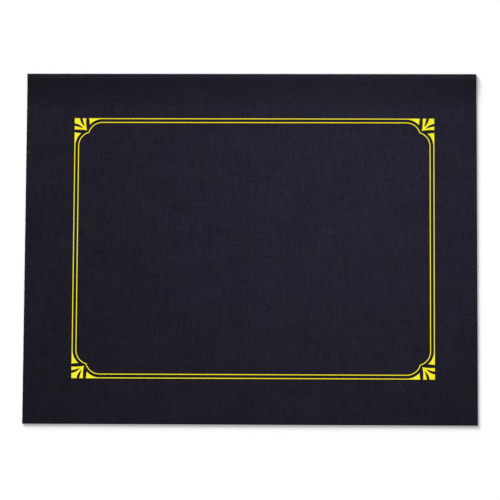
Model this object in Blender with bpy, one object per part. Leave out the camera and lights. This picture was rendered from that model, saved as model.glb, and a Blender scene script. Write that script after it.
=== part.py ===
# Certificate cover of folded linen card, lying closed on its back panel.
# Metres, +Z up. The fold runs along the +Y edge and the free edge lies towards -Y.
# The origin is at the middle of the footprint, on the surface that the cover lies on.

import math

import bmesh
import bpy

# Certificate sheet that the cover holds, and the card that stands past it on each side
SHEET_WIDTH = 0.2794
SHEET_DEPTH = 0.2159
SIDE_MARGIN = 0.01905
END_MARGIN = 0.015875

# Card and its fold
CARD_THICKNESS = 0.00035
FOLD_HEIGHT = 0.0020       # outside, with the cover closed
FOLD_RADIUS = 0.0006       # of its two bends, to the middle of the card
PANEL_GAP = 0.0003         # between the closed panels
CREST_LEVEL = 0.0026       # level strip of the front panel beside the fold
CREST_SLOPE = 0.0205       # stretch where the front panel comes down from the level strip
CREST_EASE = 1.5           # power by which the slope eases out, over 1 and at most 2
SEAM_GAP = 0.00002         # between the fold and each panel

# Diagonal slits in the back panel, one across each corner of the sheet
SLIT_REACH = 0.032         # from the sheet's corner to the slit, along each edge of the sheet
SLIT_OVERRUN = 0.003       # length of slit past the sheet's edge
SLIT_WIDTH = 0.0004

# Foil border on the front panel
FOIL_THICKNESS = 0.00005
FOIL_SEAT = 0.00002        # between the foil and the card
BORDER_MARGIN = 0.0319     # from the panel's edges to the border
BORDER_SHIFT = 0.0021      # border's offset to the right
RULE_WIDTH = 0.0006
INNER_INSET = 0.00295      # from the border's edge to the middle of the inner rule
ARC_START = 0.0196         # from the border's corner to the start of its arcs
CUSP_REACH = 0.0101        # from the border's corner to the inner rule's cusp, along each side

# Corner fan, a square of foil whose two veins part it into three petals
FAN_SIDE = 0.0081          # along the border's edge
FAN_REACH = 0.00867        # to the fan's point, along each side
FAN_BOW = 0.0003           # hollow of the fan's inner edges
VEIN_START = 0.00365       # from the corner to the vein's mouth
VEIN_MOUTH = 0.0019        # width of the mouth
VEIN_RUN = 0.0073          # from the corner to the vein's tip, along the border's edge
VEIN_DEPTH = 0.0061        # from the border's edge to the vein's tip
VEIN_NEAR_BOW = 0.00077    # curve of the side towards the corner
VEIN_FAR_BOW = 0.00015     # curve of the side away from the corner

# Flared end of an outer rule, beside the fan
FLARE_GAP = 0.002          # from the fan to the flare, at the border's edge
FLARE_LEAN = 0.00054       # how far the flare's tip leans away from the fan
FLARE_DEPTH = 0.0047       # from the border's edge to the flare's tip
FLARE_BOW = 0.00015        # hollow of the flare's end

# Facets
BEND_STEPS = 8
SLOPE_STEPS = 16
ARC_STEPS = 14
EDGE_STEPS = 6

CARD_COLOUR = (0.0168, 0.0152, 0.0262, 1.0)
FOIL_COLOUR = (0.905, 0.799, 0.050, 1.0)

# Places worked out from the sizes above
cover_width = SHEET_WIDTH + 2 * SIDE_MARGIN
cover_depth = SHEET_DEPTH + 2 * END_MARGIN
free_edge_y = -cover_depth / 2
seam_y = cover_depth / 2 - FOLD_RADIUS - CARD_THICKNESS / 2
panel_end_y = seam_y - SEAM_GAP
hinge_z = FOLD_HEIGHT / 2
hinge_y = seam_y + FOLD_RADIUS
crest_mid_z = FOLD_HEIGHT - CARD_THICKNESS / 2
front_mid_z = 1.5 * CARD_THICKNESS + PANEL_GAP
front_top_z = front_mid_z + CARD_THICKNESS / 2
border_width = cover_width - 2 * BORDER_MARGIN
border_depth = cover_depth - 2 * BORDER_MARGIN
corners = {
    "top_left": (-1, 1),
    "top_right": (1, 1),
    "bottom_left": (-1, -1),
    "bottom_right": (1, -1),
}


def clear_scene():
    for old in list(bpy.data.objects):
        bpy.data.objects.remove(old, do_unlink=True)


def make_material(name, colour, roughness, metallic):
    material = bpy.data.materials.new(name)
    material.use_nodes = True
    shader = material.node_tree.nodes["Principled BSDF"]
    shader.inputs["Base Color"].default_value = colour
    shader.inputs["Roughness"].default_value = roughness
    shader.inputs["Metallic"].default_value = metallic
    material.diffuse_color = colour
    return material


def add_object(name, mesh_builder, material=None, parent=None):
    bmesh.ops.recalc_face_normals(mesh_builder, faces=mesh_builder.faces)
    mesh = bpy.data.meshes.new(name)
    mesh_builder.to_mesh(mesh)
    mesh_builder.free()
    piece = bpy.data.objects.new(name, mesh)
    bpy.context.scene.collection.objects.link(piece)
    if material:
        mesh.materials.append(material)
    if parent:
        piece.parent = parent
        piece.matrix_parent_inverse = parent.matrix_world.inverted()
    return piece


# Thickens flat faces into a closed solid
def extrude_faces(mesh_builder, faces, offset):
    grown = bmesh.ops.extrude_face_region(mesh_builder, geom=faces, use_keep_orig=True)
    tops = [part for part in grown["geom"] if isinstance(part, bmesh.types.BMVert)]
    bmesh.ops.translate(mesh_builder, verts=tops, vec=offset)


def extruded_outline(points, offset):
    mesh_builder = bmesh.new()
    face = mesh_builder.faces.new([mesh_builder.verts.new(point) for point in points])
    extrude_faces(mesh_builder, [face], offset)
    return mesh_builder


# A profile in (y, z), drawn out along the fold over the cover's whole width
def full_width_profile(profile):
    left = [(-cover_width / 2, y, z) for y, z in profile]
    return extruded_outline(left, (cover_width, 0, 0))


# Points of a circular arc from start to end, bulging to the left of that direction by bow
def bowed_arc(start, end, bow, steps):
    run = (end[0] - start[0], end[1] - start[1])
    chord = math.hypot(*run)
    radius = (chord * chord / 4 + bow * bow) / (2 * abs(bow))
    half_angle = 2 * math.atan2(2 * abs(bow), chord)
    points = []
    for step in range(steps + 1):
        angle = half_angle * (2 * step / steps - 1)
        along = 0.5 + radius * math.sin(angle) / chord
        aside = math.copysign(radius * (math.cos(angle) - math.cos(half_angle)), bow) / chord
        x = start[0] + along * run[0] - aside * run[1]
        y = start[1] + along * run[1] + aside * run[0]
        points.append((x, y))
    return points


# Radius of the arc that leaves the line "inset from the border's edge" at ARC_START and meets a point
def tangent_radius(inset, point):
    run = ARC_START - point[0]
    drop = point[1] - inset
    return (run * run + drop * drop) / (2 * drop)


# Points of an arc from ARC_START, where it runs along the border, to a point nearer the corner
def tangent_arc(inset, radius, end):
    sweep = math.atan2(ARC_START - end[0], inset + radius - end[1])
    points = []
    for step in range(ARC_STEPS + 1):
        angle = sweep * step / ARC_STEPS
        points.append((ARC_START - radius * math.sin(angle), inset + radius * (1 - math.cos(angle))))
    return points


# From (along, in) distances at a border corner to the panel
def at_corner(signs, point):
    x = BORDER_SHIFT + signs[0] * (border_width / 2 - point[0])
    y = signs[1] * (border_depth / 2 - point[1])
    return (x, y, front_top_z + FOIL_SEAT)


def swapped(points):
    return [(second, first) for first, second in points]


def back_panel_mesh():
    under = [(free_edge_y, 0), (panel_end_y, 0)]
    upper = [(panel_end_y, CARD_THICKNESS), (free_edge_y, CARD_THICKNESS)]
    return full_width_profile(under + upper)


# Thin upright block, longer than the card is thick, along one diagonal slit
def slit_cutter_mesh(signs):
    corner = (signs[0] * SHEET_WIDTH / 2, signs[1] * SHEET_DEPTH / 2)
    middle = (corner[0] - signs[0] * SLIT_REACH / 2, corner[1] - signs[1] * SLIT_REACH / 2)
    half_length = SLIT_REACH / math.sqrt(2) + SLIT_OVERRUN
    along = (signs[0] / math.sqrt(2), -signs[1] / math.sqrt(2))
    aside = (-along[1], along[0])
    outline = []
    for end, side in ((-1, -1), (1, -1), (1, 1), (-1, 1)):
        x = middle[0] + end * half_length * along[0] + side * SLIT_WIDTH / 2 * aside[0]
        y = middle[1] + end * half_length * along[1] + side * SLIT_WIDTH / 2 * aside[1]
        outline.append((x, y, -CARD_THICKNESS))
    return extruded_outline(outline, (0, 0, 3 * CARD_THICKNESS))


# Middle line of the front panel, from the fold to the free edge, with the slope at each point.
# It bends where the level strip ends, with a mitre, and eases down to lie flat.
def front_middle_line():
    rise = crest_mid_z - front_mid_z
    first_slope = CREST_EASE * rise / CREST_SLOPE
    line = [(panel_end_y, crest_mid_z, 0.0)]
    for step in range(SLOPE_STEPS + 1):
        left = 1 - step / SLOPE_STEPS
        y = panel_end_y - CREST_LEVEL - CREST_SLOPE * (1 - left)
        slope = first_slope * left ** (CREST_EASE - 1) if step else math.tan(math.atan(first_slope) / 2)
        line.append((y, front_mid_z + rise * left ** CREST_EASE, slope))
    line.append((free_edge_y, front_mid_z, 0.0))
    return line


def front_panel_mesh():
    upper = []
    lower = []
    for y, z, slope in front_middle_line():
        half = CARD_THICKNESS / 2 / math.hypot(1, slope)
        upper.append((y - half * slope, z + half))
        lower.append((y + half * slope, z - half))
    return full_width_profile(upper + lower[::-1])


# Narrow upright strip of card between two bends, from the back panel's end up to the front panel's
def fold_mesh():
    bend_rise = FOLD_HEIGHT / 2 - CARD_THICKNESS / 2 - FOLD_RADIUS
    sides = []
    for radius in (FOLD_RADIUS + CARD_THICKNESS / 2, FOLD_RADIUS - CARD_THICKNESS / 2):
        side = []
        for end, start_angle in ((-1, -math.pi / 2), (1, 0)):
            for step in range(BEND_STEPS + 1):
                angle = start_angle + math.pi / 2 * step / BEND_STEPS
                y = seam_y + radius * math.cos(angle)
                side.append((y, hinge_z + end * bend_rise + radius * math.sin(angle)))
        sides.append(side)
    outer, inner = sides
    return full_width_profile(outer + inner[::-1])


def fan_mesh(signs):
    tip = (VEIN_RUN, VEIN_DEPTH)
    half = [(0, 0)]
    half += bowed_arc((VEIN_START, 0), tip, VEIN_NEAR_BOW, EDGE_STEPS)
    half += bowed_arc((VEIN_START + VEIN_MOUTH, 0), tip, VEIN_FAR_BOW, EDGE_STEPS)[-2::-1]
    half += bowed_arc((FAN_SIDE, 0), (FAN_REACH, FAN_REACH), FAN_BOW, EDGE_STEPS)
    outline = half + swapped(half)[-2:0:-1]
    points = [at_corner(signs, point) for point in outline]
    return extruded_outline(points, (0, 0, FOIL_THICKNESS))


# One end of an outer rule: from the border's edge down to the flare's tip and back to the rule
def flare_points():
    start = (FAN_SIDE + FLARE_GAP, 0)
    tip = (start[0] + FLARE_LEAN, FLARE_DEPTH)
    arc = tangent_arc(RULE_WIDTH, tangent_radius(RULE_WIDTH, tip), tip)
    return bowed_arc(start, tip, -FLARE_BOW, EDGE_STEPS) + arc[-2::-1]


def outer_rule_mesh(ends, along_width):
    outline = []
    for number, signs in enumerate(ends):
        flare = flare_points()
        points = [at_corner(signs, point) for point in (flare if along_width else swapped(flare))]
        outline += points if number == 0 else points[::-1]
    return extruded_outline(outline, (0, 0, FOIL_THICKNESS))


# One edge of the inner rule round a corner, from the top or bottom side to the left or right side
def inner_rule_corner(offset):
    radius = tangent_radius(INNER_INSET, (CUSP_REACH, CUSP_REACH))
    centre_in = INNER_INSET + radius
    edge_radius = radius + offset
    spread = math.sqrt(2 * edge_radius ** 2 - (ARC_START - centre_in) ** 2)
    cusp = (ARC_START + centre_in - spread) / 2
    arc = tangent_arc(INNER_INSET - offset, edge_radius, (cusp, cusp))
    return arc + swapped(arc)[-2::-1]


def inner_rule_mesh():
    mesh_builder = bmesh.new()
    edges = []
    for offset in (RULE_WIDTH / 2, -RULE_WIDTH / 2):
        loop = []
        for name in ("top_left", "bottom_left", "bottom_right", "top_right"):
            signs = corners[name]
            points = [at_corner(signs, point) for point in inner_rule_corner(offset)]
            loop += points if signs[0] * signs[1] < 0 else points[::-1]
        edges.append([mesh_builder.verts.new(point) for point in loop])
    outer, inner = edges
    faces = []
    for index in range(len(outer)):
        before = index - 1
        faces.append(mesh_builder.faces.new((outer[before], outer[index], inner[index], inner[before])))
    extrude_faces(mesh_builder, faces, (0, 0, FOIL_THICKNESS))
    return mesh_builder


def build():
    clear_scene()
    linen_card = make_material("linen_card", CARD_COLOUR, 0.85, 0.0)
    gold_foil = make_material("gold_foil", FOIL_COLOUR, 0.35, 0.8)

    back_panel = add_object("back_panel", back_panel_mesh(), linen_card)
    for name, signs in corners.items():
        cutter = add_object("slit_cutter_" + name, slit_cutter_mesh(signs))
        cutter.hide_render = True
        cutter.display_type = "WIRE"
        cut = back_panel.modifiers.new("slit_" + name, "BOOLEAN")
        cut.operation = "DIFFERENCE"
        cut.solver = "EXACT"
        cut.object = cutter
    add_object("fold", fold_mesh(), linen_card).data.shade_smooth()

    hinge = bpy.data.objects.new("front_hinge", None)
    hinge.location = (0, hinge_y, hinge_z)
    bpy.context.scene.collection.objects.link(hinge)
    bpy.context.view_layer.update()
    add_object("front_panel", front_panel_mesh(), linen_card, hinge)
    for name, signs in corners.items():
        add_object("foil_fan_" + name, fan_mesh(signs), gold_foil, hinge)
    sides = {
        "top": ("top_left", "top_right"),
        "bottom": ("bottom_left", "bottom_right"),
        "left": ("top_left", "bottom_left"),
        "right": ("top_right", "bottom_right"),
    }
    for name, ends in sides.items():
        rule = outer_rule_mesh([corners[end] for end in ends], name in ("top", "bottom"))
        add_object("foil_outer_rule_" + name, rule, gold_foil, hinge)
    add_object("foil_inner_rule", inner_rule_mesh(), gold_foil, hinge)


build()
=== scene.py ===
import math

import bmesh
import bpy
from mathutils import Matrix, Vector


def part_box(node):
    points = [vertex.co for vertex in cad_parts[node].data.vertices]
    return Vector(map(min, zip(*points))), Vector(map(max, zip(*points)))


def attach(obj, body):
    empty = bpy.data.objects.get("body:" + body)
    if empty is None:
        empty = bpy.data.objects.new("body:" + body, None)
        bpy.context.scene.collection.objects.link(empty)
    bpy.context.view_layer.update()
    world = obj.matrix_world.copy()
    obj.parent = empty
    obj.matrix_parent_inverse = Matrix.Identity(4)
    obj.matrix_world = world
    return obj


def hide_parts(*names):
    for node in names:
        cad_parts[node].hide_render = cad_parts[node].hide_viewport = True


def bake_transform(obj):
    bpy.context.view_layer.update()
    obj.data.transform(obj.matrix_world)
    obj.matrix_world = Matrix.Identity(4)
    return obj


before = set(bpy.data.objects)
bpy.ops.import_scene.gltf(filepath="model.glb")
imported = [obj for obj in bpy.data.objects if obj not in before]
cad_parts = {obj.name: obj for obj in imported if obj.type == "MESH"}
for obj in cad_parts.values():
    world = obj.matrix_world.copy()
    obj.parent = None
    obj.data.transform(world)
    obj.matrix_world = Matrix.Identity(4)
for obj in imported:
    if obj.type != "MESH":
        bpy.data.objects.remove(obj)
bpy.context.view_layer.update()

frontLow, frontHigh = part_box("front_panel")
backLow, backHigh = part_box("back_panel")
foldLow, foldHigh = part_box("fold")
cardThickness = backHigh.z - backLow.z
halfWidth = frontHigh.x
freeY = frontLow.y     # the edge that opens
seamY = frontHigh.y    # where the panels meet the fold
flatTop = frontLow.z + cardThickness
tiny = 1e-7            # places that count as the same
hair = 1e-6            # points this near to a cut lie on it, or are merged
mmPerMetre = 1000


# One output socket of a material. Operators on it add Math nodes to its tree.
class Shade:
    def __init__(self, tree, socket=None):
        self.tree = tree
        self.socket = socket

    # settings are set first, then each socket gets a value or a link
    def node(self, nodeType, settings=None, inputs=None, output=0):
        made = self.tree.nodes.new(nodeType)
        for name, value in (settings or {}).items():
            setattr(made, name, value)
        for name, value in (inputs or {}).items():
            self.feed(made.inputs[name], value)
        return Shade(self.tree, made.outputs[output])

    def feed(self, socket, value):
        if isinstance(value, Shade):
            self.tree.links.new(value.socket, socket)
        else:
            socket.default_value = value

    # another output of the same node
    def other(self, output):
        return Shade(self.tree, self.socket.node.outputs[output])

    # first two coordinates of a vector
    def axes(self):
        x = self.node("ShaderNodeSeparateXYZ", None, {0: self})
        return x, x.other("Y")

    def math(self, operation, *values):
        return self.node("ShaderNodeMath", {"operation": operation}, dict(enumerate(values)))

    def __add__(self, value):
        return self.math("ADD", self, value)

    def __sub__(self, value):
        return self.math("SUBTRACT", self, value)

    def __rsub__(self, value):
        return self.math("SUBTRACT", value, self)

    def __mul__(self, value):
        return self.math("MULTIPLY", self, value)

    def __abs__(self):
        return self.math("ABSOLUTE", self)

    __radd__ = __add__
    __rmul__ = __mul__

    def sine(self):
        return self.math("SINE", self)

    def sign(self):
        return self.math("SIGN", self)

    def larger(self, value):
        return self.math("MAXIMUM", self, value)

    # 0 at low and 1 at high, smooth between them and level outside; low may be the larger
    def ramp(self, low, high):
        inputs = {"Value": self, "From Min": low, "From Max": high}
        return self.node("ShaderNodeMapRange", {"interpolation_type": "SMOOTHSTEP"}, inputs)

    # a Mix node's colours are its inputs 6 and 7 and its output 2
    def mixColours(self, first, second):
        settings = {"data_type": "RGBA", "clamp_factor": True}
        return self.node("ShaderNodeMix", settings, {0: self, 6: first, 7: second}, 2)

    # Noise with a size of its own along each axis, in the units of this vector, from -1 to 1 or so
    def noise(self, size, detail, roughness=0.5):
        scaled = self.node("ShaderNodeVectorMath", {"operation": "DIVIDE"}, {0: self, 1: size})
        inputs = {"Vector": scaled, "Scale": 1, "Detail": detail, "Roughness": roughness}
        return self.node("ShaderNodeTexNoise", None, inputs) * 2 - 1


def newMaterial(name):
    material = bpy.data.materials.new(name)
    material.use_nodes = True
    shader = material.node_tree.nodes["Principled BSDF"]
    return material, Shade(material.node_tree), shader


def connect(shades, shader, values):
    for name, value in values.items():
        shades.feed(shader.inputs[name], value)


def layersOf(place, patterns):
    return {name: place.noise(**pattern) for name, pattern in patterns.items()}


def weighted(weights, layers):
    return sum(layers[name] * weight for name, weight in weights.items())


# Plain weave, in mm: each thread is round, and passes over and under those that cross it
weaveSettings = {
    "pitch": 0.7,
    "roundness": 0.55,
    "wander": 0.12,            # how far threads stray
    "wanderSize": (8, 8, 8),
}


def plainWeave(place):
    settings = weaveSettings
    stray = place.noise(settings["wanderSize"], detail=1) * settings["wander"]
    x, y = place.axes()
    turns = math.pi / settings["pitch"]
    across = ((x + stray) * turns).sine()
    along = ((y - stray) * turns).sine()
    over = 1 - settings["roundness"]
    warp = abs(across) * settings["roundness"] + across.sign() * along * over
    weft = abs(along) * settings["roundness"] - along.sign() * across * over
    return warp.larger(weft), across, along


# Sizes in mm. The patterns run from -1 to 1 or so, and the tone mixes the dark colours with the light ones.
linenSettings = {
    "greyDark": (0.0062, 0.0057, 0.0097, 1),
    "greyLight": (0.0302, 0.0283, 0.0391, 1),
    "blueDark": (0.0054, 0.0043, 0.012, 1),
    "blueLight": (0.0287, 0.0258, 0.047, 1),
    "patterns": {
        "warpSlub": {"size": (0.6, 7, 3), "detail": 1},       # thick and thin stretches of upright threads
        "weftSlub": {"size": (5, 0.6, 3), "detail": 1},
        "warpStreak": {"size": (0.9, 26, 3), "detail": 1},    # long threads that stand out
        "weftStreak": {"size": (26, 0.9, 3), "detail": 1},
        "patch": {"size": (7, 9, 7), "detail": 1},            # where one set of threads stands out
        "fleck": {"size": (0.72, 1.3, 3), "detail": 2, "roughness": 0.6},
        "tint": {"size": (18, 15, 15), "detail": 3, "roughness": 0.6},
        "cloud": {"size": (24, 20, 20), "detail": 3},
        "scuff": {"size": (7, 6, 6), "detail": 3, "roughness": 0.6},
        "grain": {"size": (0.16, 0.16, 0.16), "detail": 1},
    },
    "patchEdge": (-0.35, 0.15),
    "slubShare": (0.15, 0.7),         # least and most of each set of slubs
    "streakShare": (0.24, 0.14),      # of warp and of weft
    "scuffEdge": (0.25, 0.6),
    # Painted shade: the tint is painted greyer where less light falls on the card, and bluer where more
    # falls
    "tintSpread": 0.5,
    "tintInShade": 0.21,
    "tintLit": 0.4,
    "sideShade": (5, 125),             # painted shade: the card is painted greyer at its left side, its free edge and its fold, where less light falls
    "endShade": (8, 105),
    "foldShade": (-10, 40),
    "tone": {
        "slub": 0.46,
        "fleck": 0.47,
        "weave": 0.16,
        "ribs": 0.05,
        "grain": 0.04,
        "cloud": 0.13,
        "marks": 0.13,
    },
    "middleTone": 0.387,
    "height": {"weave": 0.5, "slub": 0.5, "grain": 0.06},
    "relief": 0.000026,
    "roughness": 0.85,
    "grainRoughness": 0.08,
    "slubRoughness": 0.06,
    "shine": 0.03,
}


# Painted shade: 1 where the card is painted its full blue, as where more light falls, 0 where it is painted
# greyer, as in shade
def paintedLitBlue(place):
    settings = linenSettings
    x, y = place.axes()
    foldY = mmPerMetre * (seamY + foldHigh.z / 2)
    fromFold = abs(y - foldY)
    fromEnd = foldY - mmPerMetre * freeY - fromFold
    fromSide = x + mmPerMetre * halfWidth
    litShare = fromSide.ramp(*settings["sideShade"]) * fromEnd.ramp(*settings["endShade"])
    return litShare * fromFold.ramp(*settings["foldShade"])


# Reads the sheet's own coordinates in mm: along the fold, along the card's length, and depth
def linenMaterial():
    settings = linenSettings
    material, shades, shader = newMaterial("linenCard")
    place = shades.node("ShaderNodeAttribute", {"attribute_name": "cardPlace"}, None, "Vector")
    layers = layersOf(place, settings["patterns"])
    layers["weave"], across, along = plainWeave(place)
    upright = layers["patch"].ramp(*settings["patchEdge"])
    least, most = settings["slubShare"]
    warp = layers["warpSlub"] * (upright * (most - least) + least)
    weft = layers["weftSlub"] * (most - upright * (most - least))
    warpShare, weftShare = settings["streakShare"]
    streak = layers["warpStreak"] * warpShare + layers["weftStreak"] * weftShare
    layers["slub"] = warp + weft + streak
    layers["ribs"] = across * upright + along * (1 - upright)
    low, high = settings["scuffEdge"]
    layers["marks"] = layers["scuff"].ramp(low, high) - layers["scuff"].ramp(-low, -high)
    tone = weighted(settings["tone"], layers) + settings["middleTone"]
    # The tint's grey and blue are partly random and partly painted shade, greyer where less light falls
    tint = layers["tint"] * settings["tintSpread"] + settings["tintInShade"]
    tint = tint + paintedLitBlue(place) * settings["tintLit"]
    dark = tint.mixColours(settings["greyDark"], settings["blueDark"])
    light = tint.mixColours(settings["greyLight"], settings["blueLight"])
    height = weighted(settings["height"], layers)
    bump = shades.node("ShaderNodeBump", None, {"Height": height, "Distance": settings["relief"]})
    rough = layers["grain"] * settings["grainRoughness"] - layers["slub"] * settings["slubRoughness"]
    connect(shades, shader, {
        "Base Color": tone.mixColours(dark, light),
        "Roughness": settings["roughness"] + rough,
        "Specular IOR Level": settings["shine"],
        "Normal": bump,
    })
    return material


foilSettings = {
    "bright": (0.98, 0.905, 0.031, 1),
    "deep": (0.89, 0.775, 0.021, 1),
    "bare": (0.0155, 0.014, 0.024, 1),
    "patterns": {
        "cloud": {"size": (4, 4, 4), "detail": 3},
        "speck": {"size": (0.25, 0.25, 0.25), "detail": 1},
    },
    "bareEdge": (0.75, 0.85),
    "bareWeave": 0.25,           # hollows of the weave lose their foil sooner
    "tone": {"cloud": 0.7, "weave": 0.3},
    "middleTone": 0.4,
    "relief": 0.000012,
    "roughness": 0.36,
    "cloudRoughness": 0.1,
    "bareRoughness": 0.4,
}


# Stamped foil follows the card's weave, and is missing at specks in the hollows
def foilMaterial():
    settings = foilSettings
    material, shades, shader = newMaterial("goldFoil")
    metres = shades.node("ShaderNodeTexCoord", None, None, "Object")
    place = shades.node("ShaderNodeVectorMath", {"operation": "SCALE"}, {0: metres, "Scale": mmPerMetre})
    layers = layersOf(place, settings["patterns"])
    layers["weave"] = plainWeave(place)[0]
    missing = (layers["speck"] - layers["weave"] * settings["bareWeave"]).ramp(*settings["bareEdge"])
    tone = weighted(settings["tone"], layers) + settings["middleTone"]
    gold = tone.mixColours(settings["deep"], settings["bright"])
    bump = shades.node("ShaderNodeBump", None, {"Height": layers["weave"], "Distance": settings["relief"]})
    rough = layers["cloud"] * settings["cloudRoughness"] + missing * settings["bareRoughness"]
    connect(shades, shader, {
        "Base Color": missing.mixColours(gold, settings["bare"]),
        "Metallic": 1 - missing,
        "Roughness": settings["roughness"] + rough,
        "Normal": bump,
    })
    return material


linen = linenMaterial()
foil = foilMaterial()
print("materials made: linen card, gold foil")


# The front panel runs level from the fold, bends, and eases down to lie flat
cardSettings = {
    "levelRun": 0.0026,
    "slopeRun": 0.0205,
    "ease": 1.5,
    "bendRound": 0.0005,
    "bendSamples": 11,
    "columns": 72,
    "flatRows": 48,
    "slopeRows": 52,
    "cornerRound": 0.0003,
    "cornerSteps": 3,
    "rimRound": 0.00007,
    "rimSteps": 2,
    "rimCell": 0.0003,       # thin cells beside the rim keep its shading narrow
    "sharpAngle": 40,
    "depthStretch": 20,      # sets the patterns of the two sides apart
}


# Place of one of a grid's lines, with a thin cell at each end
def lineAt(index, count, low, high):
    if index in (0, count):
        return high if index else low
    rim = cardSettings["rimCell"]
    return low + rim + (high - low - 2 * rim) * (index - 1) / (count - 2)


# Height above the flat part, averaged over the width of the bend
def crestRise(y):
    settings = cardSettings
    samples = settings["bendSamples"]
    total = 0
    for step in range(samples):
        shift = (2 * step / (samples - 1) - 1) * settings["bendRound"]
        run = seamY - y + shift - settings["levelRun"]
        left = 1 - min(max(run / settings["slopeRun"], 0), 1)
        total += left ** settings["ease"]
    return (frontHigh.z - flatTop) * total / samples


def isCorner(edge):
    first, second = (v.co for v in edge.verts)
    atFreeCorner = abs(abs(first.x) - halfWidth) < tiny and abs(first.y - freeY) < tiny
    return atFreeCorner and (first - second).xy.length < tiny


def isOuterRim(edge):
    if not edge.is_manifold or edge.calc_face_angle() < math.radians(cardSettings["sharpAngle"]):
        return False
    points = [v.co for v in edge.verts]
    near = cardSettings["cornerRound"] + tiny
    atSide = all(abs(p.x) > halfWidth - near for p in points)
    atFree = all(p.y < freeY + near for p in points)
    return atSide or atFree


# Gives a surface the card's thickness, and softens its corners and its cut edges
def thickenCard(bm):
    settings = cardSettings
    bmesh.ops.solidify(bm, geom=list(bm.faces), thickness=cardThickness)
    corners = [e for e in bm.edges if isCorner(e)]
    bmesh.ops.bevel(bm, geom=corners, offset=settings["cornerRound"], profile=0.5,
                    segments=settings["cornerSteps"], affect="EDGES", material=-1)
    rim = [e for e in bm.edges if isOuterRim(e)]
    bmesh.ops.bevel(bm, geom=rim, offset=settings["rimRound"], profile=0.5,
                    segments=settings["rimSteps"], affect="EDGES", material=-1)


# placeOf gives the place on the flat sheet, so that the weave runs on over the fold
def finishCard(bm, name, node, placeOf):
    settings = cardSettings
    mesh = bpy.data.meshes.new(name)
    bm.to_mesh(mesh)
    bm.free()
    places = mesh.attributes.new("cardPlace", "FLOAT_VECTOR", "POINT")
    for vertex, place in zip(mesh.vertices, places.data):
        depth = settings["depthStretch"] * vertex.co.z
        place.vector = mmPerMetre * Vector((*placeOf(vertex.co), depth))
    mesh.shade_smooth()
    mesh.set_sharp_from_angle(angle=math.radians(settings["sharpAngle"]))
    mesh.materials.append(linen)
    piece = bpy.data.objects.new(name, mesh)
    bpy.context.scene.collection.objects.link(piece)
    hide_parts(node)
    print(name, len(mesh.polygons), "faces")
    return piece


def addFrontPanel():
    settings = cardSettings
    columns = settings["columns"]
    flatRows = settings["flatRows"]
    rows = flatRows + settings["slopeRows"]
    bm = bmesh.new()
    bmesh.ops.create_grid(bm, x_segments=columns, y_segments=rows, size=0.5)
    slopeY = seamY - settings["levelRun"] - settings["slopeRun"] - settings["bendRound"]
    for vertex in bm.verts:
        row = round((vertex.co.y + 0.5) * rows)
        if row <= flatRows:
            y = lineAt(row, flatRows, freeY, slopeY)
        else:
            y = slopeY + (seamY - slopeY) * (row - flatRows) / (rows - flatRows)
        x = lineAt(round((vertex.co.x + 0.5) * columns), columns, -halfWidth, halfWidth)
        vertex.co = (x, y, flatTop + crestRise(y))
    thickenCard(bm)
    piece = finishCard(bm, "frontPanel", "front_panel", lambda p: (p.x, p.y))
    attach(piece, "front")


# Upright strip between two bends, from the back panel's end up to the front panel's end
foldSettings = {"columns": 64, "bendSteps": 10, "wallSteps": 12}


def addFold():
    settings = foldSettings
    radius = foldHigh.y - foldLow.y
    height = foldHigh.z
    bm = bmesh.new()
    ends = [bm.verts.new((side * halfWidth, seamY, 0)) for side in (-1, 1)]
    start = bm.edges.new(ends)
    bmesh.ops.subdivide_edges(bm, edges=[start], cuts=settings["columns"] - 1)
    row = list(bm.edges)

    def step(row, move):
        made = bmesh.ops.extrude_edge_only(bm, edges=row)["geom"]
        bmesh.ops.translate(bm, vec=move, verts=[g for g in made if isinstance(g, bmesh.types.BMVert)])
        return [g for g in made if isinstance(g, bmesh.types.BMEdge) and g.is_boundary and onRow(g)]

    def onRow(edge):
        first, second = (v.co for v in edge.verts)
        return (first - second).yz.length < tiny

    def bend(row, centre):
        turned = row + list(dict.fromkeys(v for e in row for v in e.verts))
        made = bmesh.ops.spin(bm, geom=turned, cent=centre, axis=(1, 0, 0), angle=math.pi / 2,
                              steps=settings["bendSteps"])["geom_last"]
        return [g for g in made if isinstance(g, bmesh.types.BMEdge)]

    row = step(row, (0, foldLow.y - seamY, 0))
    row = bend(row, (0, foldLow.y, radius))
    for _ in range(settings["wallSteps"]):
        row = step(row, (0, 0, (height - 2 * radius) / settings["wallSteps"]))
    row = bend(row, (0, foldLow.y, height - radius))
    step(row, (0, seamY - foldLow.y, 0))
    bmesh.ops.remove_doubles(bm, verts=bm.verts, dist=hair)
    bmesh.ops.recalc_face_normals(bm, faces=bm.faces)
    bmesh.ops.solidify(bm, geom=list(bm.faces), thickness=cardThickness)

    # length along the card, measured round the fold from the front panel's end
    piece = finishCard(bm, "foldStrip", "fold", lambda p: (p.x, p.y + height - p.z))
    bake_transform(piece)


# Diagonal slits across the corners of the sheet that the cover holds, and the tabs that they free
slitSettings = {
    "sheetHalf": (0.1397, 0.10795),
    "reach": 0.032,
    "overrun": 0.003,
    "opening": 0.0004,
    "lift": 0.00013,          # of the tab's lip
    "liftLines": (0, 0.0008, 0.002, 0.004, 0.007, 0.012),
    "steps": 12,
    "endSlack": 0.0001,       # share of the half length
}


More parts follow.
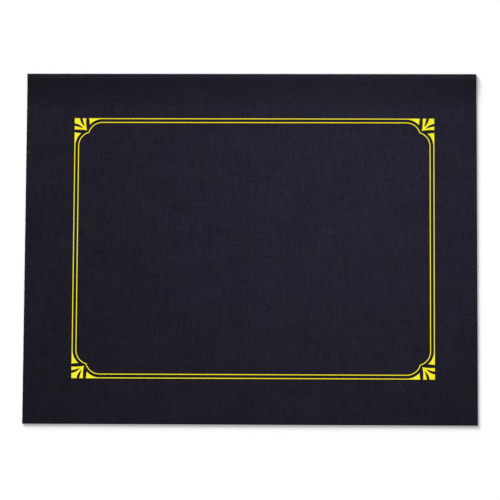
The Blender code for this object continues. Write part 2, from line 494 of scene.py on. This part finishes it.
class Slit:
    def __init__(self, signs):
        settings = slitSettings
        halves = [half - settings["reach"] / 2 for half in settings["sheetHalf"]]
        self.middle = Vector((signs[0] * halves[0], signs[1] * halves[1], cardThickness))
        self.along = Vector((signs[0], -signs[1], 0)).normalized()
        self.outward = Vector((signs[0], signs[1], 0)).normalized()
        self.halfLength = settings["reach"] / math.sqrt(2) + settings["overrun"]

    # share of the half length along the slit, and distance from it towards the corner
    def placeOf(self, point):
        offset = point - self.middle
        return offset.dot(self.along) / self.halfLength, offset.dot(self.outward)

    def cutLines(self):
        steps = slitSettings["steps"]
        for step in range(steps + 1):
            yield self.middle + (2 * step / steps - 1) * self.halfLength * self.along, self.along
        for distance in slitSettings["liftLines"]:
            yield self.middle + distance * self.outward, self.outward

    def onSlit(self, vertex):
        share, distance = self.placeOf(vertex.co)
        return abs(share) < 1 + slitSettings["endSlack"] and abs(distance) < hair

    # the slit is widest, and the tab's lip highest, at the middle
    def open(self, bm):
        settings = slitSettings
        edges = [e for e in bm.edges if all(self.onSlit(v) for v in e.verts)]
        bmesh.ops.split_edges(bm, edges=edges)
        reach = settings["liftLines"][-1]
        for vertex in bm.verts:
            share, distance = self.placeOf(vertex.co)
            if abs(share) > 1 - settings["endSlack"] or distance < -hair or distance > reach:
                continue
            side = sum(self.placeOf(f.calc_center_median())[1] for f in vertex.link_faces)
            if self.onSlit(vertex):
                vertex.co += math.copysign(settings["opening"] / 2, side) * (1 - share ** 4) * self.outward
            if side > 0:
                vertex.co.z += settings["lift"] * (1 - share ** 2) * (1 - distance / reach) ** 2


# Cut all across into cells by the lines of the rim and of the slits, so that its cells meet
def addBackPanel():
    bm = bmesh.new()
    corners = [(-halfWidth, freeY), (halfWidth, freeY), (halfWidth, seamY), (-halfWidth, seamY)]
    bm.faces.new([bm.verts.new((x, y, cardThickness)) for x, y in corners])
    rim = cardSettings["rimCell"]
    lines = [((side * (halfWidth - rim), 0, 0), (1, 0, 0)) for side in (-1, 1)]
    lines += [((0, freeY + rim, 0), (0, 1, 0))]
    slits = [Slit(signs) for signs in ((-1, -1), (1, -1), (1, 1), (-1, 1))]
    for slit in slits:
        lines += slit.cutLines()
    for point, normal in lines:
        parts = [*bm.verts, *bm.edges, *bm.faces]
        bmesh.ops.bisect_plane(bm, geom=parts, dist=hair, plane_co=point, plane_no=normal)
    for slit in slits:
        slit.open(bm)
    thickenCard(bm)
    piece = finishCard(bm, "backPanel", "back_panel", lambda p: (p.x, 2 * seamY + foldHigh.z - p.y))
    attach(piece, "back")


addFrontPanel()
addFold()
addBackPanel()

for name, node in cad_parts.items():
    if name.startswith("foil_"):
        node.data.materials.clear()
        node.data.materials.append(foil)
print("foil border dressed")

# Camera, from the corners of the cover and of its border in the photograph
cameraSettings = {
    "place": (0.04236, -0.19012, 1.71191),
    "turn": (0.10985, 0.02462, 0.00421),
    "lens": 176.672,
    "sensor": 36,
}


def addCamera():
    settings = cameraSettings
    camera = bpy.data.objects.new("camera", bpy.data.cameras.new("camera"))
    camera.data.sensor_width = settings["sensor"]
    camera.data.lens = settings["lens"]
    turn = Vector(settings["turn"])
    camera.matrix_world = Matrix.Translation(settings["place"]) @ Matrix.Rotation(turn.length, 4, turn)
    bpy.context.scene.collection.objects.link(camera)
    bpy.context.scene.camera = camera


# The key skims the card from beyond the fold, the soft box brightens its right half
coverLights = {
    "key": {"place": (-0.376, 1.2, 0.137), "size": (0.7, 0.127), "watts": 54.25},
    "softBox": {"place": (0.0836, 0.0355, 0.2064), "size": (0.2, 0.2), "watts": 0.325},
}
# The sun draws the shadow, the sky softens it
floorLights = {
    "sun": {"place": (-0.524, 0.806, 0.276), "angle": 38, "strength": 6.53},
    "sky": {"place": (0, 0, 1), "angle": 150, "strength": 0.83},
}
floorSettings = {
    "halfSize": 3,
    "drop": 0.0001,
    "colour": (0.9, 0.9, 0.9, 1),
    "glow": 0.145,
    "worldLight": 0.15,
}
white = (1, 1, 1, 1)
black = (0, 0, 0, 1)


def groupOf(name, objects):
    group = bpy.data.collections.new(name)
    for each in objects:
        group.objects.link(each)
    return group


def addLight(name, kind, place, strength, receivers):
    lamp = bpy.data.lights.new(name, kind)
    lamp.energy = strength
    light = bpy.data.objects.new(name, lamp)
    light.location = place
    light.rotation_euler = (-Vector(place)).to_track_quat("-Z", "Y").to_euler()
    light.visible_camera = False
    light.visible_glossy = False
    light.light_linking.receiver_collection = receivers
    bpy.context.scene.collection.objects.link(light)
    return lamp


# 1 for what the camera sees, itself or in gloss and glass
def seenRay(shades):
    path = shades.node("ShaderNodeLightPath")
    return path.larger(path.other("Is Glossy Ray")).larger(path.other("Is Transmission Ray"))


# White to the camera and in reflections, and it keeps the cover's shadow
def addFloor():
    settings = floorSettings
    bm = bmesh.new()
    bmesh.ops.create_grid(bm, x_segments=1, y_segments=1, size=settings["halfSize"])
    bmesh.ops.translate(bm, vec=(0, 0, -settings["drop"]), verts=bm.verts)
    mesh = bpy.data.meshes.new("floor")
    bm.to_mesh(mesh)
    bm.free()
    material, shades, shader = newMaterial("paleFloor")
    connect(shades, shader, {
        "Base Color": settings["colour"],
        "Roughness": 1,
        "Specular IOR Level": 0,
        "Emission Color": seenRay(shades).mixColours(black, white),
        "Emission Strength": settings["glow"],
    })
    mesh.materials.append(material)
    floor = bpy.data.objects.new("floor", mesh)
    bpy.context.scene.collection.objects.link(floor)
    return floor


def addWorld():
    dim = floorSettings["worldLight"]
    world = bpy.data.worlds.new("studio")
    world.use_nodes = True
    bpy.context.scene.world = world
    shades = Shade(world.node_tree)
    background = world.node_tree.nodes["Background"]
    connect(shades, background, {"Color": white, "Strength": seenRay(shades) * (1 - dim) + dim})


def addStudio():
    cover = [o for o in bpy.context.scene.objects if o.type == "MESH"]
    floor = addFloor()
    coverGroup = groupOf("litCover", cover)
    floorGroup = groupOf("litFloor", [floor])
    for name, light in coverLights.items():
        lamp = addLight(name, "AREA", light["place"], light["watts"], coverGroup)
        lamp.shape = "RECTANGLE"
        lamp.size, lamp.size_y = light["size"]
    for name, light in floorLights.items():
        lamp = addLight(name, "SUN", light["place"], light["strength"], floorGroup)
        lamp.angle = math.radians(light["angle"])
    addWorld()
    bpy.context.scene.view_settings.view_transform = "Standard"


addCamera()
addStudio()
print("camera, lights and floor set")
